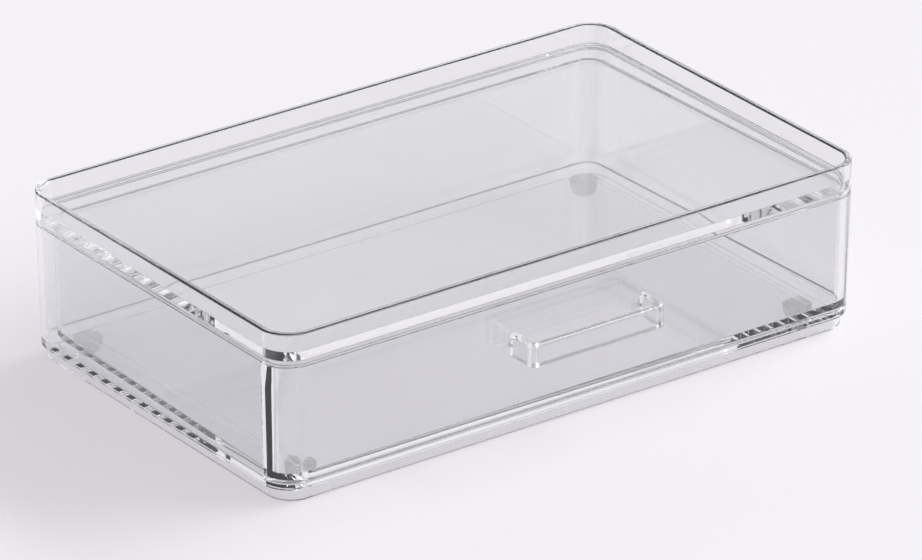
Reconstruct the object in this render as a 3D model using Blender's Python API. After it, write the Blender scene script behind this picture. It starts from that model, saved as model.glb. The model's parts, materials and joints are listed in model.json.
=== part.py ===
# Stackable jewelry drawer in clear moulded plastic.
#
# A shallow case with a stacking rim round its recessed top, a drawer that slides out of
# its open front, a strap handle and four round bumper feet. The case and the drawer are
# each two mouldings: cover on case, and fascia on tray.
#
# Metres, +Z up. The front faces -Y, and the origin is on the ground below the middle of
# the whole, handle included.

import math

import bmesh
import bpy
from mathutils import Vector

# Overall plan
WIDTH = 0.3048
DEPTH = 0.1903
CORNER_RADIUS = 0.0140

# Gaps between pieces
SEAT_GAP = 0.0003
FRONT_REVEAL = 0.0005
WRAP_GAP = 0.0004

# Case: height from the step under the floor to the top of the rim
CASE_HEIGHT = 0.0718
CASE_WALL = 0.0029
CASE_FLOOR = 0.0027
CASE_DRAFT = 0.00085
CASE_FLOOR_FILLET = 0.0005

# Stacking ring under the floor, which drops inside the rim of the unit below
RING_HEIGHT = 0.0060
RING_WALL = 0.0025
RING_CLEARANCE = 0.0004

# Top cover
RIM_WALL = 0.0029
RECESS_DEPTH = 0.0088
PANEL = 0.0040
SKIRT = 0.0018
RIM_ROUND = 0.0006
PANEL_FILLET = 0.0002

# Bumper feet, stuck inside the ring
FOOT_DIAMETER = 0.0127
FOOT_TREAD = 0.0094
FOOT_SKIRT = 0.0016
FOOT_ROUND = 0.0012
FOOT_PROUD = 0.0009
FOOT_FROM_SIDE = 0.0220
FOOT_FROM_END = 0.0203

# Drawer fascia
FASCIA = 0.0030
EDGE_ROUND = 0.00025

# Drawer tray
TRAY_WALL = 0.0022
TRAY_INNER_CORNER = 0.0070
TRAY_FLOOR = 0.0024
TRAY_TOP_CLEARANCE = 0.0034
TRAY_SIDE_CLEARANCE = 0.0005
TRAY_TAPER = 0.0044
TRAY_BACK_CLEARANCE = 0.0049
TRAY_SIDE_LEAN = 0.0006
TRAY_BACK_LEAN = 0.0005
TRAY_INNER_FILLET = 0.0006
TRAY_OUTER_FILLET = 0.0005
RUNNER_HEIGHT = 0.0010
RUNNER_WIDTH = 0.0020
RUNNER_FROM_SIDE = 0.0200
RUNNER_END = 0.0140

# Handle
HANDLE_WIDTH = 0.0712
HANDLE_REACH = 0.0150
HANDLE_BAND = 0.0037
HANDLE_HEIGHT = 0.0114
HANDLE_INNER_BEND = 0.0008
HANDLE_ROUND = 0.0017
HANDLE_BELOW_EDGE = 0.0144
PEG_DIAMETER = 0.0030
PEG_CLEARANCE = 0.0003

# How finely round forms are cut
CORNER_STEPS = 12
FILLET_STEPS = 3
BEND_STEPS = 6
FOOT_STEPS = 32
PEG_STEPS = 16

# Levels and places worked out from the sizes above
FLOOR_UNDERSIDE = FOOT_PROUD + RING_HEIGHT
FLOOR_TOP = FLOOR_UNDERSIDE + CASE_FLOOR
RIM_TOP = FLOOR_UNDERSIDE + CASE_HEIGHT
PANEL_TOP = RIM_TOP - RECESS_DEPTH
PANEL_UNDERSIDE = PANEL_TOP - PANEL
SEAM = PANEL_UNDERSIDE - SKIRT
TRAY_TOP = PANEL_UNDERSIDE - TRAY_TOP_CLEARANCE
TRAY_UNDERSIDE = FLOOR_TOP + SEAT_GAP + RUNNER_HEIGHT
FASCIA_BOTTOM = FLOOR_TOP + FRONT_REVEAL
FASCIA_TOP = SEAM - FRONT_REVEAL
HANDLE_TOP = FASCIA_TOP - HANDLE_BELOW_EDGE
HANDLE_MIDDLE = HANDLE_TOP - HANDLE_HEIGHT / 2
HALF_WIDTH = WIDTH / 2
HALF_DEPTH = DEPTH / 2
FRONT_FACE = -HALF_DEPTH
WRAP_END = FRONT_FACE + CORNER_RADIUS
PEG_X = HANDLE_WIDTH / 2 - HANDLE_BAND / 2
TRAY_CORNER = TRAY_INNER_CORNER + TRAY_WALL
FASCIA_CORNER = min(TRAY_CORNER + SEAT_GAP, CORNER_RADIUS - FASCIA - CASE_DRAFT)
SMALLEST_RADIUS = 0.0004


def draft_at(z):
    """How far the outer face of the case has come in at height z, below the seam."""
    return CASE_DRAFT * (SEAM - z) / (SEAM - FLOOR_UNDERSIDE)


def clear_scene():
    """Remove what the file opens with."""
    for obj in list(bpy.data.objects):
        bpy.data.objects.remove(obj, do_unlink=True)


def make_material(name, color, roughness, transmission):
    """A Principled material for one kind of plastic."""
    mat = bpy.data.materials.new(name)
    mat.use_nodes = True
    shader = mat.node_tree.nodes["Principled BSDF"]
    shader.inputs["Base Color"].default_value = (*color, 1.0)
    shader.inputs["Roughness"].default_value = roughness
    shader.inputs["Metallic"].default_value = 0.0
    shader.inputs["Transmission Weight"].default_value = transmission
    return mat


def finish(bm, name, material, sharp_angle=math.radians(35)):
    """Turn a closed bmesh into a named object with smooth round faces."""
    bmesh.ops.remove_doubles(bm, verts=bm.verts, dist=0.000001)
    bmesh.ops.recalc_face_normals(bm, faces=bm.faces)
    mesh = bpy.data.meshes.new(name)
    bm.to_mesh(mesh)
    bm.free()
    obj = bpy.data.objects.new(name, mesh)
    bpy.context.scene.collection.objects.link(obj)
    mesh.materials.append(material)
    mesh.shade_smooth()
    mesh.set_sharp_from_angle(angle=sharp_angle)
    return obj


def rounded_corners(corners, steps):
    """Round a convex outline. Each corner is (point, radius), given counter-clockwise."""
    outline = []
    count = len(corners)
    for index, (point, radius) in enumerate(corners):
        before = (corners[index - 1][0] - point).normalized()
        after = (corners[(index + 1) % count][0] - point).normalized()
        half_angle = before.angle(after) / 2
        run = radius / math.tan(half_angle)
        center = point + (before + after).normalized() * (radius / math.sin(half_angle))
        start = point + before * run - center
        turn = math.pi - 2 * half_angle
        for step in range(steps + 1):
            angle = turn * step / steps
            spoke = Vector((start.x * math.cos(angle) - start.y * math.sin(angle),
                            start.x * math.sin(angle) + start.y * math.cos(angle)))
            outline.append(center + spoke)
    return outline


def rounded_rectangle(inset, z):
    """One ring of points: the plan outline, moved in by inset, at height z."""
    radius = max(CORNER_RADIUS - inset, SMALLEST_RADIUS)
    x = HALF_WIDTH - inset
    y = HALF_DEPTH - inset
    corners = [(Vector(place), radius) for place in ((x, -y), (x, y), (-x, y), (-x, -y))]
    return [Vector((p.x, p.y, z)) for p in rounded_corners(corners, CORNER_STEPS)]


def fillet_profile(points, closed=False):
    """Round the bends of an (across, up) profile. Each point is (across, up, radius)."""
    result = []
    count = len(points)
    for index, (across, up, radius) in enumerate(points):
        here = Vector((across, up))
        end = not closed and index in (0, count - 1)
        if radius == 0 or end:
            result.append(here)
            continue
        before = (Vector(points[index - 1][:2]) - here).normalized()
        after = (Vector(points[(index + 1) % count][:2]) - here).normalized()
        half_angle = before.angle(after) / 2
        run = radius / math.tan(half_angle)
        center = here + (before + after).normalized() * (radius / math.sin(half_angle))
        start = here + before * run - center
        goal = here + after * run - center
        turn = start.angle_signed(goal)
        for step in range(FILLET_STEPS + 1):
            angle = -turn * step / FILLET_STEPS
            result.append(center + Vector((start.x * math.cos(angle) - start.y * math.sin(angle),
                                           start.x * math.sin(angle) + start.y * math.cos(angle))))
    return result


def loft(rings):
    """Join rings of equal length into one closed skin, with a flat cap at each end."""
    bm = bmesh.new()
    loops = [[bm.verts.new(point) for point in ring] for ring in rings]
    count = len(loops[0])
    for lower, upper in zip(loops, loops[1:]):
        for index in range(count):
            following = (index + 1) % count
            bm.faces.new((lower[index], lower[following], upper[following], upper[index]))
    bm.faces.new(loops[0])
    bm.faces.new(loops[-1])
    return bm


def combine(obj, guide, operation):
    """Add a guide object's volume to obj, or take it out. The guide stays out of sight."""
    modifier = obj.modifiers.new(guide.name, "BOOLEAN")
    modifier.operation = operation
    modifier.solver = "EXACT"
    modifier.object = guide
    guide.parent = obj
    guide.hide_render = True
    guide.display_type = "WIRE"


def block(name, low, high, material):
    """A plain box between two corners, which cuts an opening or adds a rib."""
    bm = bmesh.new()
    bmesh.ops.create_cube(bm, size=1.0)
    low = Vector(low)
    high = Vector(high)
    for vert in bm.verts:
        vert.co = (low + high) / 2 + Vector(a * b for a, b in zip(vert.co, high - low))
    return finish(bm, name, material)


def build_top_cover(material):
    """Rim and recessed panel, on a short skirt as thick as the walls that it meets."""
    skirt = max(CASE_WALL, FASCIA)
    middle = RIM_WALL + CORNER_RADIUS
    profile = fillet_profile([
        (middle, PANEL_UNDERSIDE, 0),
        (skirt, PANEL_UNDERSIDE, PANEL_FILLET),
        (skirt, SEAM, EDGE_ROUND),
        (0, SEAM, EDGE_ROUND),
        (0, RIM_TOP, RIM_ROUND),
        (RIM_WALL, RIM_TOP, RIM_ROUND),
        (RIM_WALL, PANEL_TOP, PANEL_FILLET),
        (middle, PANEL_TOP, 0),
    ])
    return finish(loft([rounded_rectangle(a, z) for a, z in profile]), "top_cover", material)


def build_case_body(material):
    """Floor, two sides and back in one moulding, with the stacking ring underneath."""
    top = SEAM - SEAT_GAP
    floor_draft = draft_at(FLOOR_TOP)
    ring_outer = RIM_WALL + RING_CLEARANCE
    ring_inner = ring_outer + RING_WALL
    middle = ring_inner + CORNER_RADIUS
    profile = fillet_profile([
        (middle, FLOOR_TOP, 0),
        (CASE_WALL + floor_draft, FLOOR_TOP, CASE_FLOOR_FILLET),
        (CASE_WALL, top, EDGE_ROUND),
        (0, top, EDGE_ROUND),
        (CASE_DRAFT, FLOOR_UNDERSIDE, EDGE_ROUND),
        (ring_outer, FLOOR_UNDERSIDE, 0),
        (ring_outer, FOOT_PROUD, EDGE_ROUND),
        (ring_inner, FOOT_PROUD, EDGE_ROUND),
        (ring_inner, FLOOR_UNDERSIDE, 0),
        (middle, FLOOR_UNDERSIDE, 0),
    ])
    body = finish(loft([rounded_rectangle(a, z) for a, z in profile]), "case_body", material)
    mouth = block("front_opening", (-WIDTH, -DEPTH, FLOOR_TOP),
                  (WIDTH, WRAP_END + WRAP_GAP, RIM_TOP), material)
    combine(body, mouth, "DIFFERENCE")
    return body


def build_foot(name, x, y, material):
    """A round self-adhesive bumper: straight skirt, tapered side, rounded tread."""
    top = FLOOR_UNDERSIDE - SEAT_GAP
    profile = fillet_profile([
        (0, top, 0),
        (FOOT_DIAMETER / 2, top, 0),
        (FOOT_DIAMETER / 2, top - FOOT_SKIRT, 0),
        (FOOT_TREAD / 2, 0, FOOT_ROUND),
        (0, 0, 0),
    ])
    rings = []
    for radius, z in profile[1:-1]:
        angles = [2 * math.pi * step / FOOT_STEPS for step in range(FOOT_STEPS)]
        rings.append([Vector((radius * math.cos(a), radius * math.sin(a), z)) for a in angles])
    foot = finish(loft(rings), name, material)
    foot.location = (x, y, 0)
    return foot


def two_bends(half, front, radius, steps):
    """A U in plan, open to the back: points and inward directions, left end to right."""
    path = []
    for side in (-1, 1):
        center = Vector((side * (half - radius), front + radius))
        bend = []
        for step in range(steps + 1):
            angle = math.pi / 2 * step / steps
            outward = Vector((side * math.cos(angle), -math.sin(angle)))
            bend.append((center + outward * radius, -outward))
        path += bend if side < 0 else reversed(bend)
    return path


def sweep(path, section):
    """Carry an (inward, up) section along a path in plan, and cap its two ends."""
    return loft([[Vector((*(point + inward * across), z)) for across, z in section]
                 for point, inward in path])


def front_ring(rounding, z):
    """The drawer front's plan at height z: a U whose ends stop at the case sides."""
    outer = draft_at(z) + rounding
    inner = draft_at(z) + FASCIA - rounding
    outside = two_bends(HALF_WIDTH - outer, FRONT_FACE + outer, CORNER_RADIUS - outer, CORNER_STEPS)
    inside = two_bends(HALF_WIDTH - inner, FRONT_FACE + inner, FASCIA_CORNER, CORNER_STEPS)
    plan = [point for point, _ in outside]
    plan.append(Vector((HALF_WIDTH - inner, WRAP_END)))
    plan += [point for point, _ in reversed(inside)]
    plan.append(Vector((inner - HALF_WIDTH, WRAP_END)))
    return [Vector((p.x, p.y, z)) for p in plan]


def build_fascia(material):
    """The flat drawer front, whose ends wrap round the corners to meet the case sides."""
    profile = fillet_profile([
        (FASCIA / 2, FASCIA_BOTTOM, 0),
        (0, FASCIA_BOTTOM, EDGE_ROUND),
        (0, FASCIA_TOP, EDGE_ROUND),
        (FASCIA / 2, FASCIA_TOP, 0),
    ])
    rings = [front_ring(rounding, z) for rounding, z in profile[1:-1]]
    fascia = finish(loft(rings), "drawer_front", material)
    for side, x in (("left", -PEG_X), ("right", PEG_X)):
        hole = peg(f"handle_hole_{side}", x, PEG_DIAMETER / 2 + PEG_CLEARANCE,
                   FRONT_FACE - FASCIA, FRONT_FACE + 3 * FASCIA, material)
        combine(fascia, hole, "DIFFERENCE")
    return fascia


def tray_ring(inset, z):
    """The tray's plan at height z, narrower at the back and slightly so at the base."""
    below = (TRAY_TOP - z) / (TRAY_TOP - TRAY_UNDERSIDE)
    front_half = HALF_WIDTH - CASE_WALL - TRAY_SIDE_CLEARANCE - TRAY_SIDE_LEAN * below - inset
    back_half = front_half - TRAY_TAPER
    front = FRONT_FACE + draft_at(z) + FASCIA + SEAT_GAP + inset
    back = HALF_DEPTH - CASE_WALL - TRAY_BACK_CLEARANCE - TRAY_BACK_LEAN * below - inset
    radius = max(TRAY_CORNER - inset, SMALLEST_RADIUS)
    corners = [(Vector(place), radius) for place in (
        (front_half, front), (back_half, back), (-back_half, back), (-front_half, front))]
    return [Vector((p.x, p.y, z)) for p in rounded_corners(corners, CORNER_STEPS)]


def build_tray(material):
    """The open box that holds the jewelry, on two runners."""
    floor_top = TRAY_UNDERSIDE + TRAY_FLOOR
    middle = TRAY_WALL + TRAY_CORNER
    profile = fillet_profile([
        (middle, TRAY_UNDERSIDE, 0),
        (0, TRAY_UNDERSIDE, TRAY_OUTER_FILLET),
        (0, TRAY_TOP, EDGE_ROUND),
        (TRAY_WALL, TRAY_TOP, EDGE_ROUND),
        (TRAY_WALL, floor_top, TRAY_INNER_FILLET),
        (middle, floor_top, 0),
    ])
    tray = finish(loft([tray_ring(a, z) for a, z in profile]), "drawer_tray", material)
    front = FRONT_FACE + RUNNER_END
    back = HALF_DEPTH - CASE_WALL - TRAY_BACK_CLEARANCE - RUNNER_END
    for side in (-1, 1):
        x = side * (HALF_WIDTH - RUNNER_FROM_SIDE)
        runner = block(f"runner_{'left' if side < 0 else 'right'}",
                       (x - RUNNER_WIDTH / 2, front, TRAY_UNDERSIDE - RUNNER_HEIGHT),
                       (x + RUNNER_WIDTH / 2, back, TRAY_UNDERSIDE + TRAY_FLOOR / 2), material)
        combine(tray, runner, "UNION")
    return tray


def peg(name, x, radius, front, back, material):
    """A round rod along Y, for a peg or for its hole."""
    rings = []
    for y in (front, back):
        angles = [2 * math.pi * step / PEG_STEPS for step in range(PEG_STEPS)]
        rings.append([Vector((x + radius * math.cos(a), y, HANDLE_MIDDLE + radius * math.sin(a)))
                      for a in angles])
    return finish(loft(rings), name, material)


def handle_root():
    """Where the handle's arms end, just clear of the drawer front."""
    return FRONT_FACE + draft_at(HANDLE_TOP) - SEAT_GAP


def build_handle(material):
    """A strap with round edges, bent to a D in plan, with a peg on each arm."""
    root = handle_root()
    half = HANDLE_WIDTH / 2
    path = [(Vector((-half, root)), Vector((1, 0)))]
    path += two_bends(half, root - HANDLE_REACH, HANDLE_INNER_BEND + HANDLE_BAND, BEND_STEPS)
    path.append((Vector((half, root)), Vector((-1, 0))))
    low = HANDLE_TOP - HANDLE_HEIGHT
    section = fillet_profile([
        (0, low, HANDLE_ROUND),
        (HANDLE_BAND, low, HANDLE_ROUND),
        (HANDLE_BAND, HANDLE_TOP, HANDLE_ROUND),
        (0, HANDLE_TOP, HANDLE_ROUND),
    ], closed=True)
    handle = finish(sweep(path, section), "drawer_handle", material)
    for side, x in (("left", -PEG_X), ("right", PEG_X)):
        stud = peg(f"handle_peg_{side}", x, PEG_DIAMETER / 2, root - HANDLE_BAND,
                   root + SEAT_GAP + FASCIA, material)
        combine(handle, stud, "UNION")
    return handle


def main():
    clear_scene()
    clear = make_material("clear_polystyrene", (0.93, 0.93, 0.95), 0.03, 0.9)
    rubber = make_material("clear_soft_rubber", (0.55, 0.56, 0.58), 0.35, 0.5)
    case = bpy.data.objects.new("case", None)
    drawer = bpy.data.objects.new("drawer", None)
    middle = (HALF_DEPTH + handle_root() - HANDLE_REACH) / 2
    for empty in (case, drawer):
        empty.location.y = -middle
        bpy.context.scene.collection.objects.link(empty)
    case_pieces = [build_top_cover(clear), build_case_body(clear)]
    foot_x = HALF_WIDTH - FOOT_FROM_SIDE
    foot_y = HALF_DEPTH - FOOT_FROM_END
    for name, x, y in (("foot_front_left", -foot_x, -foot_y), ("foot_front_right", foot_x, -foot_y),
                       ("foot_back_left", -foot_x, foot_y), ("foot_back_right", foot_x, foot_y)):
        case_pieces.append(build_foot(name, x, y, rubber))
    drawer_pieces = [build_tray(clear), build_fascia(clear), build_handle(clear)]
    for piece in case_pieces:
        piece.parent = case
    for piece in drawer_pieces:
        piece.parent = drawer


main()
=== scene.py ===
# %% [markdown]
# # A clear stackable jewelry drawer
#
# The object is a shallow case of water-clear moulded plastic. Its cover is a recessed
# panel with a raised rim, so that a second case can stand on it. A drawer slides out of
# the front on two runners, pulled by a strap handle, and the case stands on four soft
# bumpers. We rebuild each moulding with fine round corners, because clear plastic shows
# every facet of a rough mesh, and then light it like a catalogue photograph.

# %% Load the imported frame
import json
import math

import bmesh
import bpy
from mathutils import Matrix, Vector

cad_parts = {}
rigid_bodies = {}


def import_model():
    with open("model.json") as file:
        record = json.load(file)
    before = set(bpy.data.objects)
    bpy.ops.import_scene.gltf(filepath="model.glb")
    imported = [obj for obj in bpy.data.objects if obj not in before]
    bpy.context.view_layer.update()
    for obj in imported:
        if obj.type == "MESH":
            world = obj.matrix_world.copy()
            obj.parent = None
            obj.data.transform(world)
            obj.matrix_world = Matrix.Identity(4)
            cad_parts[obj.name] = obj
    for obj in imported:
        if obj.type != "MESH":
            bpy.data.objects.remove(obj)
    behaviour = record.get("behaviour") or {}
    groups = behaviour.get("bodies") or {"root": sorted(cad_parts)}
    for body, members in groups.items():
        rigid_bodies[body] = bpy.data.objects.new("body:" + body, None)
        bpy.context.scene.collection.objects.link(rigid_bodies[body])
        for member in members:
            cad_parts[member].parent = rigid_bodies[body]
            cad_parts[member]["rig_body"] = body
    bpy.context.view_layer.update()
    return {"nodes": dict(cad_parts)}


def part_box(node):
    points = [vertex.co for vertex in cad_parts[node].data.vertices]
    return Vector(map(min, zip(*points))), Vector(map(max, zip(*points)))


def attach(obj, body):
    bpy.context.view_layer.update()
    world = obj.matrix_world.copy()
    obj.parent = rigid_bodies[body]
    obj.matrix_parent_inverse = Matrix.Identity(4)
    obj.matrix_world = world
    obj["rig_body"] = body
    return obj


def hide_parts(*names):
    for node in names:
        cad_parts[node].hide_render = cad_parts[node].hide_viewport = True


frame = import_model()
MM = 0.001

# %% [markdown]
# ## Where things are
#
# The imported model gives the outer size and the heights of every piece. The few sizes
# that its boxes don't give, such as walls and corner radii, are written once, where they
# are first needed. Blender works in metres, so a size in millimetres is multiplied by MM.

# %% Sizes that several pieces share
cover_low, cover_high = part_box("top_cover")
RIM_TOP = cover_high.z
SEAM = cover_low.z
MIDDLE_Y = (cover_low.y + cover_high.y) / 2
CORNER_RADIUS = 14 * MM
WALL = 2.9 * MM
# The wall of the drawer front, and of the cover's skirt above it
FASCIA = 3.0 * MM
EDGE_ROUND = 0.25 * MM
SIDES = (-1, 1)
print("Rim top and seam in mm:", [round(z / MM, 1) for z in (RIM_TOP, SEAM)])

# %% [markdown]
# ## Small tools for work in edit mode
#
# Each moulding starts as a cube at its real size and place. We then do by script what a
# modeller does by hand: select faces or edges, inset, extrude, bevel. The shapes could
# also be written as lists of points, but nobody could read those. Selecting is done by
# place and direction, so that the script reads like an instruction.

# %% Start a block
def deselect_all():
    """Leave edit mode and deselect every object."""
    if bpy.context.object and bpy.context.object.mode != "OBJECT":
        bpy.ops.object.mode_set(mode="OBJECT")
    bpy.ops.object.select_all(action="DESELECT")


def start_block(name, low, high):
    """Add a cube between two corners and open it in edit mode."""
    deselect_all()
    low = Vector(low)
    high = Vector(high)
    bpy.ops.mesh.primitive_cube_add(size=1, location=(low + high) / 2)
    block = bpy.context.object
    block.name = name
    block.scale = high - low
    bpy.ops.object.transform_apply(location=True, rotation=False, scale=True)
    bpy.ops.object.mode_set(mode="EDIT")
    return block


# %% Select faces or edges that pass a test
SHARP_ANGLE = math.radians(40)


def start_selection(kind):
    """Deselect all faces, edges or points, and give the mesh that is being edited."""
    mesh = bmesh.from_edit_mesh(bpy.context.object.data)
    bpy.ops.mesh.select_mode(type=kind)
    bpy.ops.mesh.select_all(action="DESELECT")
    return mesh


def select_faces(test):
    """Select the faces whose middle and normal pass the test."""
    mesh = start_selection("FACE")
    for face in mesh.faces:
        face.select_set(test(face.calc_center_median(), face.normal))
    bmesh.update_edit_mesh(bpy.context.object.data)


def select_edges(test):
    """Select the sharp edges whose middle and direction pass the test."""
    mesh = start_selection("EDGE")
    for edge in mesh.edges:
        start, end = (vertex.co for vertex in edge.verts)
        sharp = edge.calc_face_angle(math.pi) > SHARP_ANGLE
        edge.select_set(sharp and test((start + end) / 2, (end - start).normalized()))
    bmesh.update_edit_mesh(bpy.context.object.data)


print("An edge is sharp where it turns by more degrees than", round(math.degrees(SHARP_ANGLE)))

# %% Tests for a place or a direction
NEAR = 0.02 * MM
MOSTLY = 0.9
STANDING = 0.7
LYING = 0.5


def at_height(z):
    """A test that is true at one height."""
    return lambda place, direction=None: abs(place.z - z) < NEAR


def looks_up(middle, normal):
    """True for a face that looks up."""
    return normal.z > MOSTLY


def looks_down(middle, normal):
    """True for a face that looks down."""
    return normal.z < -MOSTLY


def stands(middle, direction):
    """True for an upright edge, also one that leans."""
    return abs(direction.z) > STANDING


def lies(middle, direction):
    """True for an edge that lies flat, or nearly."""
    return abs(direction.z) < LYING


print("Heights match within mm:", NEAR / MM)

# %% Shape what is selected
CORNER_SEGMENTS = 32
FINE_SEGMENTS = 4


def round_corners(radius):
    """Bevel the upright edges of a block into its round corners."""
    select_edges(stands)
    bpy.ops.mesh.bevel(offset=radius, segments=CORNER_SEGMENTS, affect="EDGES")


def round_edges(test, radius, segments=FINE_SEGMENTS):
    """Bevel the sharp edges that pass the test."""
    select_edges(test)
    bpy.ops.mesh.bevel(offset=radius, segments=segments, affect="EDGES", clamp_overlap=True)


def push(distance):
    """Extrude the selected faces up, or down where the distance is negative."""
    bpy.ops.mesh.extrude_region_move(TRANSFORM_OT_translate={"value": (0, 0, distance)})


def inset_and_push(wall, distance):
    """Leave an even wall round the selected face, and extrude what is inside it."""
    bpy.ops.mesh.inset(thickness=wall)
    push(distance)


# %% Finish a moulding
def finish_moulding(piece):
    """Shade a piece smooth, with normals that keep its flat faces flat."""
    bpy.ops.object.mode_set(mode="OBJECT")
    bpy.ops.object.shade_smooth_by_angle(angle=SHARP_ANGLE)
    bpy.ops.object.modifier_add(type="WEIGHTED_NORMAL")
    piece.modifiers[-1].keep_sharp = True
    bpy.ops.object.modifier_apply(modifier=piece.modifiers[-1].name)
    print(piece.name, "has", len(piece.data.polygons), "faces")


# %% [markdown]
# ## The cover
#
# The real cover is one moulding: a flat panel with a rim round it, on a short skirt that
# meets the case walls. It could be lofted from its outlines, but a rounded block with a
# pocket from above and one from below is simpler, because inset and extrude keep every
# wall even. The bevels give the fine edge rounds that catch light as thin lines.

# %% Model the cover
RECESS = 8.8 * MM
PANEL = 4.0 * MM
PANEL_TOP = RIM_TOP - RECESS
PANEL_UNDERSIDE = PANEL_TOP - PANEL
RIM_ROUND = 0.8 * MM
PANEL_ROUND = 0.2 * MM
cover = start_block("clear_cover", cover_low, cover_high)
round_corners(CORNER_RADIUS)
select_faces(looks_up)
inset_and_push(WALL, -RECESS)
select_faces(looks_down)
inset_and_push(FASCIA, PANEL_UNDERSIDE - SEAM)
round_edges(at_height(RIM_TOP), RIM_ROUND)
round_edges(at_height(PANEL_TOP), PANEL_ROUND)
round_edges(at_height(PANEL_UNDERSIDE), PANEL_ROUND)
round_edges(at_height(SEAM), EDGE_ROUND)
finish_moulding(cover)

# %% [markdown]
# ## The case body
#
# Floor, two sides and back are one moulding, and its walls lean in a little towards the
# floor so that it leaves the mould. Scaling the bottom outline would spoil its corner
# radii, so this lean, the draft, is made by moving the four rounded corners inwards, arc
# and all. Underneath, a ring stands inside the edge: it drops into the rim of a case
# below. The open front is cut out last, so that the bevels run on evenly to its ends.

# %% Move one rounded corner
def shift_corner(z, side, end, move):
    """Move one rounded corner of an outline at height z. side is -1 or 1 for left or
    right, and end is -1 or 1 for front or back."""
    mesh = start_selection("VERT")
    for vertex in mesh.verts:
        vertex.select_set(at_height(z)(vertex.co) and vertex.co.x * side > 0
                          and (vertex.co.y - MIDDLE_Y) * end > 0)
    mesh.select_flush(True)
    bmesh.update_edit_mesh(bpy.context.object.data)
    bpy.ops.transform.translate(value=move)


# %% Lean all four walls
body_low, body_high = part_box("case_body")
RING_HEIGHT = 6.0 * MM
STEP = body_low.z + RING_HEIGHT
DRAFT = 0.85 * MM


def draft_at(z):
    """How far the outer face has come in at a height below the seam."""
    return DRAFT * (SEAM - z) / (SEAM - STEP)


def draft_corners(*heights):
    """Move in all four corners of the outlines at these heights."""
    for z in heights:
        for side in SIDES:
            for end in SIDES:
                shift_corner(z, side, end, (-side * draft_at(z), -end * draft_at(z), 0))


print("Draft at the step in mm:", round(draft_at(STEP) / MM, 2))

# %% Model the case body
RING_FROM_EDGE = 3.3 * MM
RING_WALL = 2.5 * MM
CASE_FLOOR = 2.7 * MM
FLOOR_TOP = STEP + CASE_FLOOR
FLOOR_ROUND = 0.5 * MM


def depth_in(place):
    """How far a point lies inside the plan outline of the case."""
    across = abs(place.x) - (cover_high.x - CORNER_RADIUS)
    along = abs(place.y - MIDDLE_Y) - (cover_high.y - MIDDLE_Y - CORNER_RADIUS)
    beyond = math.hypot(max(across, 0), max(along, 0)) + min(max(across, along), 0)
    return CORNER_RADIUS - beyond


body = start_block("clear_case", (body_low.x, cover_low.y, STEP), body_high)
round_corners(CORNER_RADIUS)
select_faces(looks_up)
inset_and_push(WALL, FLOOR_TOP - body_high.z)
draft_corners(STEP, FLOOR_TOP)
select_faces(looks_down)
inset_and_push(RING_FROM_EDGE - DRAFT, -RING_HEIGHT)
inset_and_push(RING_WALL, RING_HEIGHT)
round_edges(at_height(FLOOR_TOP), FLOOR_ROUND)
round_edges(at_height(body_high.z), EDGE_ROUND)
round_edges(lambda middle, direction: at_height(STEP)(middle) and depth_in(middle) < WALL / 2,
            EDGE_ROUND)
round_edges(at_height(body_low.z), EDGE_ROUND)
print("Top of the case floor in mm:", round(FLOOR_TOP / MM, 1))

# %% Cut or join with a second block
def combine(piece, tool, operation):
    """Apply a Boolean with a tool object, delete the tool, and edit the result."""
    deselect_all()
    piece.select_set(True)
    bpy.context.view_layer.objects.active = piece
    bpy.ops.object.modifier_add(type="BOOLEAN")
    modifier = piece.modifiers[-1]
    modifier.operation = operation
    modifier.solver = "EXACT"
    modifier.object = tool
    bpy.ops.object.modifier_apply(modifier=modifier.name)
    bpy.data.objects.remove(tool)
    bpy.ops.object.mode_set(mode="EDIT")


# %% Open the front of the case for the drawer
front_low, front_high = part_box("drawer_front")
WRAP_GAP = 0.4 * MM
mouth = start_block("mouth", (2 * body_low.x, cover_low.y - WALL, FLOOR_TOP),
                    (2 * body_high.x, front_high.y + WRAP_GAP, RIM_TOP))
combine(body, mouth, "DIFFERENCE")
finish_moulding(body)

# %% [markdown]
# ## The drawer front
#
# The front wraps round both corners of the case, and two holes in it take the pegs of the
# handle. A bent sheet would make it too, but its lean would be hard to match to the case.
# So a rounded block, drafted like the case, is hollowed by a smaller one, and everything
# behind the corners is cut away. It is made slightly thicker than the real front, so that
# it reaches into the wall of the tray.

# %% Model the outside of the drawer front
fascia = start_block("clear_drawer_front", front_low,
                     (front_high.x, cover_high.y, front_high.z))
round_corners(CORNER_RADIUS)
draft_corners(front_low.z, front_high.z)
print("Drawer front height in mm:", round((front_high.z - front_low.z) / MM, 1))

# %% Hollow it, and cut away what lies behind it
TRAY_CORNER = 9.2 * MM
BOND = 0.6 * MM
INSIDE = FASCIA + BOND
BELOW = front_low.z - FASCIA
ABOVE = front_high.z + FASCIA
hollow = start_block("hollow", (front_low.x + INSIDE, front_low.y + INSIDE, BELOW),
                     (front_high.x - INSIDE, cover_high.y - INSIDE, ABOVE))
round_corners(TRAY_CORNER - BOND / 2)
draft_corners(BELOW, ABOVE)
combine(fascia, hollow, "DIFFERENCE")
behind = start_block("behind", (2 * front_low.x, front_high.y, BELOW),
                     (2 * front_high.x, 2 * cover_high.y, ABOVE))
combine(fascia, behind, "DIFFERENCE")
round_edges(lies, EDGE_ROUND)
print("Thickness with the bond in mm:", round(INSIDE / MM, 1))

# %% Drill the two holes for the handle's pegs
handle_low, handle_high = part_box("drawer_handle")
HANDLE_BAND = 3.7 * MM
PEG_RADIUS = 1.5 * MM
PEG_X = handle_high.x - HANDLE_BAND / 2
SEAT_GAP = 0.3 * MM
ROD_VERTICES = 32


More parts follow.
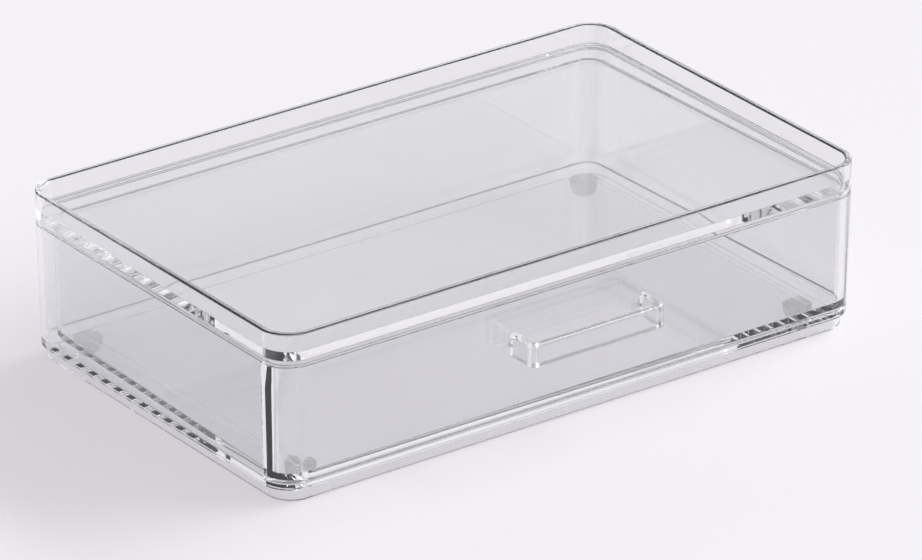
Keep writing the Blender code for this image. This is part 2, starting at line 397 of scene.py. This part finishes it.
def rod(name, x, radius, front, back):
    """A round rod from front to back, at the height of the handle."""
    deselect_all()
    place = (x, (front + back) / 2, (handle_low.z + handle_high.z) / 2)
    bpy.ops.mesh.primitive_cylinder_add(vertices=ROD_VERTICES, radius=radius,
                                        depth=back - front, location=place,
                                        rotation=(math.pi / 2, 0, 0))
    piece = bpy.context.object
    piece.name = name
    bpy.ops.object.transform_apply(location=True, rotation=True, scale=True)
    return piece


for side in SIDES:
    drill = rod("drill", side * PEG_X, PEG_RADIUS + SEAT_GAP, front_low.y - FASCIA,
                front_low.y + 2 * FASCIA)
    combine(fascia, drill, "DIFFERENCE")
print("Holes apart in mm:", round(2 * PEG_X / MM, 1))

# %% [markdown]
# ## The handle
#
# The handle is a flat strap bent into a D. It could be swept along a curve, but a sheet
# with two bevelled corners, thickened inwards, keeps its outside at the size of the
# frame. Its long edges are almost fully round, to suit the fingers, and they bend the
# light into bright bands along the strap.

# %% Bend the strap
INNER_BEND = 0.8 * MM
BEND_SEGMENTS = 12
HANDLE_ROOT = handle_high.y - FASCIA - SEAT_GAP
handle = start_block("clear_handle", handle_low, (handle_high.x, HANDLE_ROOT, handle_high.z))
select_edges(lambda middle, direction: stands(middle, direction)
             and middle.y < handle_low.y + NEAR)
bpy.ops.mesh.bevel(offset=HANDLE_BAND + INNER_BEND, segments=BEND_SEGMENTS, affect="EDGES")
select_faces(lambda middle, normal: abs(normal.z) > MOSTLY or normal.y > MOSTLY)
bpy.ops.mesh.delete(type="FACE")
bpy.ops.object.mode_set(mode="OBJECT")
bpy.ops.object.modifier_add(type="SOLIDIFY")
thicken = handle.modifiers[-1]
thicken.thickness = HANDLE_BAND
thicken.offset = -1
thicken.use_even_offset = True
bpy.ops.object.modifier_apply(modifier=thicken.name)
print("Strap width in mm:", round((handle_high.x - handle_low.x) / MM, 1))

# %% Round its edges and add the pegs
HANDLE_ROUND = 1.7 * MM
SOFT_SEGMENTS = 6
bpy.ops.object.mode_set(mode="EDIT")
round_edges(lambda middle, direction: lies(middle, direction)
            and middle.y < HANDLE_ROOT - NEAR, HANDLE_ROUND, SOFT_SEGMENTS)
for side in SIDES:
    peg = rod("peg", side * PEG_X, PEG_RADIUS, HANDLE_ROOT - HANDLE_BAND, handle_high.y)
    combine(handle, peg, "UNION")
finish_moulding(handle)

# %% [markdown]
# ## The tray
#
# The tray holds the jewelry. It is a little narrower at its back, so that it slips into
# the case with ease. Scaling its back would spoil the corner radii there. So a straight
# rounded box gets its pocket first, and then each rounded corner is moved to where it
# belongs. No seam shows between the tray and the front, as if solvent joined them, so the
# two become one clear body here: light then runs on from one into the other, and gives
# the dark upright bar at the corner.

# %% Model the tray
tray_low, tray_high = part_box("drawer_tray")
RUNNER = 1.0 * MM
TRAY_WALL = 2.2 * MM
TRAY_FLOOR = 2.4 * MM
TRAY_UNDERSIDE = tray_low.z + RUNNER
TRAY_FLOOR_TOP = TRAY_UNDERSIDE + TRAY_FLOOR
tray = start_block("clear_drawer", (tray_low.x, tray_low.y, TRAY_UNDERSIDE), tray_high)
round_corners(TRAY_CORNER)
select_faces(looks_up)
inset_and_push(TRAY_WALL, TRAY_FLOOR_TOP - tray_high.z)
print("Tray depth in mm:", round((tray_high.z - TRAY_FLOOR_TOP) / MM, 1))

# %% Lean its walls, taper it and round its edges
TRAY_TAPER = 4.4 * MM
TRAY_LEAN = 0.6 * MM
TRAY_BACK_LEAN = 0.5 * MM
TRAY_INNER_ROUND = 0.6 * MM
TRAY_OUTER_ROUND = 0.5 * MM
INNER_SEGMENTS = 12
for z in (TRAY_UNDERSIDE, TRAY_FLOOR_TOP, tray_high.z):
    share = (z - TRAY_UNDERSIDE) / (tray_high.z - TRAY_UNDERSIDE)
    front_in = TRAY_LEAN * (1 - share)
    back_in = front_in + TRAY_TAPER
    for side in SIDES:
        shift_corner(z, side, -1, (-side * front_in, draft_at(z), 0))
        shift_corner(z, side, 1, (-side * back_in, -TRAY_BACK_LEAN * (1 - share), 0))
round_edges(at_height(TRAY_FLOOR_TOP), TRAY_INNER_ROUND, INNER_SEGMENTS)
round_edges(at_height(TRAY_UNDERSIDE), TRAY_OUTER_ROUND, SOFT_SEGMENTS)
round_edges(at_height(tray_high.z), EDGE_ROUND)
print("Tray width at its back in mm:",
      round((tray_high.x - tray_low.x - 2 * TRAY_TAPER) / MM, 1))

# %% Join the two runners and the front to the tray
RUNNER_WIDTH = 2.0 * MM
RUNNER_FROM_SIDE = 20.0 * MM
RUNNER_END = 14.0 * MM
for side in SIDES:
    x = side * (cover_high.x - RUNNER_FROM_SIDE)
    runner = start_block("runner", (x - RUNNER_WIDTH / 2, cover_low.y + RUNNER_END, tray_low.z),
                         (x + RUNNER_WIDTH / 2, tray_high.y - RUNNER_END,
                          TRAY_UNDERSIDE + TRAY_FLOOR / 2))
    combine(tray, runner, "UNION")
combine(tray, fascia, "UNION")
finish_moulding(tray)

# %% [markdown]
# ## The feet
#
# Each foot is a stock self-adhesive bumper: a short straight skirt, a tapered side and a
# soft round tread. A profile could be spun instead, but a cylinder takes only three
# steps: extrude, shrink and bevel. One is modelled and then copied to the other corners,
# so that all four are alike.

# %% Model one foot
FEET = ("foot_front_left", "foot_front_right", "foot_back_left", "foot_back_right")
FOOT_VERTICES = 64
FOOT_SKIRT = 1.6 * MM
FOOT_TREAD = 9.4 * MM
FOOT_ROUND = 1.2 * MM
foot_low, foot_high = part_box(FEET[0])
foot_radius = (foot_high.x - foot_low.x) / 2
deselect_all()
bpy.ops.mesh.primitive_cylinder_add(
    vertices=FOOT_VERTICES, radius=foot_radius, depth=FOOT_SKIRT,
    location=((foot_low.x + foot_high.x) / 2, (foot_low.y + foot_high.y) / 2,
              foot_high.z - FOOT_SKIRT / 2))
foot = bpy.context.object
foot.name = "bumper_" + FEET[0]
bpy.ops.object.transform_apply(location=True, rotation=False, scale=True)
bpy.ops.object.mode_set(mode="EDIT")
select_faces(looks_down)
push(foot_low.z - foot_high.z + FOOT_SKIRT)
shrink = FOOT_TREAD / 2 / foot_radius
bpy.ops.transform.resize(value=(shrink, shrink, 1))
round_edges(at_height(foot_low.z), FOOT_ROUND, SOFT_SEGMENTS)
finish_moulding(foot)

# %% Copy it to the other three corners
feet = [foot]
for name in FEET[1:]:
    deselect_all()
    foot.select_set(True)
    bpy.context.view_layer.objects.active = foot
    bpy.ops.object.duplicate(linked=False)
    copy = bpy.context.object
    copy.name = "bumper_" + name
    bpy.ops.transform.translate(value=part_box(name)[0] - foot_low)
    bpy.ops.object.transform_apply(location=True, rotation=False, scale=False)
    feet.append(copy)
print("Feet:", [piece.name for piece in feet])

# %% [markdown]
# ## The clear plastic
#
# The mouldings are taken to be clear polystyrene, polished by the mould. Its refraction
# is set above that plastic's 1.59, because this came closer to the photograph.
# Melted plastic that cools against the mould is never quite even, so the faces get a very
# long, shallow waviness and a trace of cloud. Both are drawn by nodes at their real size,
# so that they hold at any distance, which a painted picture wouldn't.

# %% Helpers for colours and nodes
def linear(hex_color):
    """An sRGB hex colour as the linear values that shaders use."""
    channels = [int(hex_color[i:i + 2], 16) / 255 for i in (1, 3, 5)]
    return [c / 12.92 if c <= 0.04045 else ((c + 0.055) / 1.055) ** 2.4 for c in channels] + [1]


def add_node(tree, kind, settings=None, inputs=None):
    """Add a node, set its options, and set or link its inputs."""
    node = tree.nodes.new(kind)
    for name, value in (settings or {}).items():
        setattr(node, name, value)
    for name, value in (inputs or {}).items():
        if isinstance(value, bpy.types.NodeSocket):
            tree.links.new(value, node.inputs[name])
        else:
            node.inputs[name].default_value = value
    return node


print("Middle grey as shaders use it:", [round(part, 3) for part in linear("#808080")])

# %% Mix the plastic
plastic = bpy.data.materials.new("moulded clear polystyrene")
plastic.use_nodes = True
melt = plastic.node_tree
shader = melt.nodes["Principled BSDF"]
# Glassy: the faces let nearly all light through, and only the edges show dark lines
shader.inputs["IOR"].default_value = 1.8
shader.inputs["Transmission Weight"].default_value = 1.0
shader.inputs["Roughness"].default_value = 0.0
print(plastic.name, "has an IOR of", round(shader.inputs["IOR"].default_value, 2))

# %% Add its cloud and its waviness
CLOUD_SIZE = 60 * MM
WAVE_SIZE = 40 * MM
WAVE_HEIGHT = 0.012 * MM
ALONG_THE_FLOW = (0.5, 1, 1)
place = add_node(melt, "ShaderNodeTexCoord").outputs["Object"]
# Cloud in the melt: light through several walls greys a little unevenly. A Mix node has
# a pair of inputs for each kind of value, and its colours are 6 and 7.
cloud = add_node(melt, "ShaderNodeTexNoise", None,
                 {"Vector": place, "Scale": 1 / CLOUD_SIZE, "Detail": 0.0})
tint = add_node(melt, "ShaderNodeMix", {"data_type": "RGBA"},
                {0: cloud.outputs["Fac"], 6: linear("#F6F6F7"), 7: linear("#F9F9FA")})
melt.links.new(tint.outputs[2], shader.inputs["Base Color"])
# The waves are twice as long along the case as across it, and mirrored edges waver in them
flow = add_node(melt, "ShaderNodeMapping", None, {"Vector": place, "Scale": ALONG_THE_FLOW})
waves = add_node(melt, "ShaderNodeTexNoise", None,
                 {"Vector": flow.outputs["Vector"], "Scale": 1 / WAVE_SIZE, "Detail": 0.0})
relief = add_node(melt, "ShaderNodeBump", None,
                  {"Strength": 1.0, "Distance": WAVE_HEIGHT, "Height": waves.outputs["Fac"]})
melt.links.new(relief.outputs["Normal"], shader.inputs["Normal"])
print(plastic.name, "has", len(melt.nodes), "nodes")

# %% [markdown]
# ## The rubber of the bumpers
#
# The bumpers are cast from clear soft rubber. It holds tiny bubbles, so it lets only a
# part of the light through, and each foot shows as a speckled grey spot through the
# plastic. A plain grey would look painted on, so the bubbles are drawn at their own size.

# %% Mix the rubber
rubber = bpy.data.materials.new("cast clear bumper rubber")
rubber.use_nodes = True
gum = rubber.node_tree
shader = gum.nodes["Principled BSDF"]
shader.inputs["IOR"].default_value = 1.5
shader.inputs["Transmission Weight"].default_value = 0.7
print(rubber.name, "has an IOR of", round(shader.inputs["IOR"].default_value, 2))

# %% Add its bubbles and the grain of its skin
BUBBLE_SIZE = 1.5 * MM
DULL, SHINY = 0.4, 0.2
GRAIN_SIZE = 0.4 * MM
GRAIN_HEIGHT = 0.01 * MM
place = add_node(gum, "ShaderNodeTexCoord").outputs["Object"]
# Bubbles make the spot speckled
bubbles = add_node(gum, "ShaderNodeTexNoise", None,
                   {"Vector": place, "Scale": 1 / BUBBLE_SIZE, "Detail": 0.0}).outputs["Fac"]
tint = add_node(gum, "ShaderNodeMix", {"data_type": "RGBA"},
                {0: bubbles, 6: linear("#8F9096"), 7: linear("#D2D3D8")})
gum.links.new(tint.outputs[2], shader.inputs["Base Color"])
# The skin is duller over the dark bubbles. A Mix node's numbers are inputs 2 and 3.
gloss = add_node(gum, "ShaderNodeMix", {"data_type": "FLOAT"}, {0: bubbles, 2: DULL, 3: SHINY})
gum.links.new(gloss.outputs[0], shader.inputs["Roughness"])
# The fine grain of the skin breaks up its highlights
grain = add_node(gum, "ShaderNodeTexNoise", None,
                 {"Vector": place, "Scale": 1 / GRAIN_SIZE, "Detail": 0.0})
relief = add_node(gum, "ShaderNodeBump", None,
                  {"Strength": 1.0, "Distance": GRAIN_HEIGHT, "Height": grain.outputs["Fac"]})
gum.links.new(relief.outputs["Normal"], shader.inputs["Normal"])
print(rubber.name, "has", len(gum.nodes), "nodes")

# %% [markdown]
# ## Dress the pieces
#
# A body of the frame moves as one: the drawer slides out, and the case stays. Each piece
# rides on the body of the node that it stands for, so that nothing is left behind when
# the drawer opens. One table of pieces and nodes does it for all of them alike.

# %% Dress the pieces and tie them to the frame
DRESSED = {cover: "top_cover", body: "case_body", tray: "drawer_tray",
           handle: "drawer_handle", **dict(zip(feet, FEET))}
for piece, node in DRESSED.items():
    piece.data.materials.clear()
    piece.data.materials.append(rubber if node in FEET else plastic)
    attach(piece, frame["nodes"][node]["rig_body"])
    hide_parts(node)
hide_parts("drawer_front")
print("Dressed pieces:", len(DRESSED))

# %% [markdown]
# ## The table
#
# The photograph stands its object on a seamless pale sheet. A white sheet under bright
# light would wash out the shadow, so this one is grey and glows a little by itself, like
# a backlit table. It reaches so far that its edge is never in the picture.

# %% Floor
FLOOR_SIZE = 200
FLOOR_GLOW = 0.60
deselect_all()
bpy.ops.mesh.primitive_plane_add(size=FLOOR_SIZE, location=(0, 0, 0))
floor = bpy.context.object
floor.name = "studio_floor"
table = bpy.data.materials.new("pale backlit studio table")
table.use_nodes = True
shader = table.node_tree.nodes["Principled BSDF"]
shader.inputs["Base Color"].default_value = linear("#BCBCBC")
shader.inputs["Roughness"].default_value = 1.0
shader.inputs["Specular IOR Level"].default_value = 0.0
shader.inputs["Emission Color"].default_value = linear("#FBF7FF")
shader.inputs["Emission Strength"].default_value = FLOOR_GLOW
floor.data.materials.append(table)
print("Floor glow:", FLOOR_GLOW)

# %% [markdown]
# ## The light
#
# A clear object has almost no colour of its own: what we see is what it bends. Lamps
# would show in it as hard spots, so the light comes from a few soft bright cards, which
# are patches of a dark dome. The flat faces bend the cards and the glowing table towards
# us, and the edges pick up the dark between them as thin lines.

# %% Measure a direction in the dome
world = bpy.data.worlds.new("studio dome")
bpy.context.scene.world = world
world.use_nodes = True
sky = world.node_tree
direction = add_node(sky, "ShaderNodeTexCoord").outputs["Generated"]
parts = add_node(sky, "ShaderNodeSeparateXYZ", None, {"Vector": direction}).outputs
flat = add_node(sky, "ShaderNodeCombineXYZ", None, {"X": parts["X"], "Y": parts["Y"]})
level = add_node(sky, "ShaderNodeVectorMath", {"operation": "NORMALIZE"}, {0: flat.outputs[0]})
rise = add_node(sky, "ShaderNodeMath", {"operation": "ARCSINE"}, {0: parts["Z"]})
elevation = add_node(sky, "ShaderNodeMath", {"operation": "DEGREES"}, {0: rise.outputs[0]})
print("Nodes that measure a direction:", len(sky.nodes))

# %% Describe one card
def light_zone(azimuth, width, low, high, strength, soft=6.0):
    """A patch of bright sky. Azimuth is from the front towards the right, in degrees."""
    turn = math.radians(azimuth)
    facing = add_node(sky, "ShaderNodeVectorMath", {"operation": "DOT_PRODUCT"},
                      {0: level.outputs["Vector"], 1: (math.sin(turn), -math.cos(turn), 0)})
    turned = add_node(sky, "ShaderNodeMath", {"operation": "ARCCOSINE"},
                      {0: facing.outputs["Value"]})
    off_middle = add_node(sky, "ShaderNodeMath", {"operation": "DEGREES"},
                          {0: turned.outputs[0]})
    light = strength
    # Three soft steps fade the patch at its sides, at its bottom and at its top
    for angle, dark_at, bright_at in ((off_middle, (width + soft) / 2, (width - soft) / 2),
                                      (elevation, low - soft / 2, low + soft / 2),
                                      (elevation, high + soft / 2, high - soft / 2)):
        step = add_node(sky, "ShaderNodeMapRange", {"interpolation_type": "SMOOTHSTEP"},
                        {"Value": angle.outputs[0], "From Min": dark_at,
                         "From Max": bright_at})
        light = add_node(sky, "ShaderNodeMath", {"operation": "MULTIPLY"},
                         {0: step.outputs[0], 1: light}).outputs[0]
    return light


# %% Hang the cards
# Each card's azimuth, width, lower edge and upper edge in degrees, and its strength
ZONES = {
    "key softbox high on the right": light_zone(78, 60, 31, 42, 11.0),
    "long low card on the right": light_zone(95, 70, 4, 20, 4.4),
    "glow between the two": light_zone(78, 66, 4, 44, 0.9),
    "fill in front": light_zone(12, 76, 25, 45, 1.3),
    "low fill in front": light_zone(12, 70, 2, 25, 0.5),
    "card at the front left": light_zone(-36, 40, 15, 40, 0.55),
    "far card that the panel mirrors": light_zone(144, 40, 20, 30, 0.9, soft=3),
    "card behind the box": light_zone(190, 60, 20, 32, 0.9),
}
total = 0.0
for zone in ZONES.values():
    total = add_node(sky, "ShaderNodeMath", {"operation": "ADD"}, {0: zone, 1: total}).outputs[0]
backdrop = sky.nodes["Background"]
sky.links.new(total, backdrop.inputs["Color"])
backdrop.inputs["Strength"].default_value = 1.0
print("Cards:", ", ".join(ZONES))

# %% [markdown]
# ## The camera
#
# Edges that are parallel on the box stay nearly parallel in the photograph, so it was
# taken with a long lens from far away. The box's straight edges also give the direction:
# from the front left, about 25 degrees above the table. Its place is written as two
# angles and a distance from a point in the box, because each of them has a meaning.

# %% Camera
CAMERA_AZIMUTH = math.radians(-36.16)
CAMERA_ELEVATION = math.radians(25.03)
CAMERA_DISTANCE = 3.732
SENSOR_WIDTH = 36
LENS = 340.2
FAR_LIMIT = 100
TARGET = Vector((8.44 * MM, MIDDLE_Y, RIM_TOP - 52.9 * MM))
back = Vector((math.sin(CAMERA_AZIMUTH) * math.cos(CAMERA_ELEVATION),
               -math.cos(CAMERA_AZIMUTH) * math.cos(CAMERA_ELEVATION),
               math.sin(CAMERA_ELEVATION)))
bpy.ops.object.camera_add(location=TARGET + back * CAMERA_DISTANCE,
                          rotation=back.to_track_quat("Z", "Y").to_euler())
camera = bpy.context.object
camera.data.sensor_width = SENSOR_WIDTH
camera.data.lens = LENS
camera.data.clip_end = FAR_LIMIT
bpy.context.scene.camera = camera
print("Camera at:", [round(value, 3) for value in camera.location])

# %% [markdown]
# ## Settings that belong to the look
#
# Light is caught between clear walls and turns many corners before it gets out. The
# renderer follows it for a set number of bounces, and what hasn't come out by then turns
# black. In trials, few bounces made solid black bars of the edges, and more of them made
# the dark marks pale. This number lies between. It suits most edges, and none suits all.

# %% Colour and bounces
CAUGHT_BOUNCES = 48
scene = bpy.context.scene
scene.view_settings.view_transform = "Standard"
scene.cycles.max_bounces = CAUGHT_BOUNCES
scene.cycles.transmission_bounces = CAUGHT_BOUNCES
scene.cycles.glossy_bounces = CAUGHT_BOUNCES
print("Light is followed for", CAUGHT_BOUNCES, "bounces")
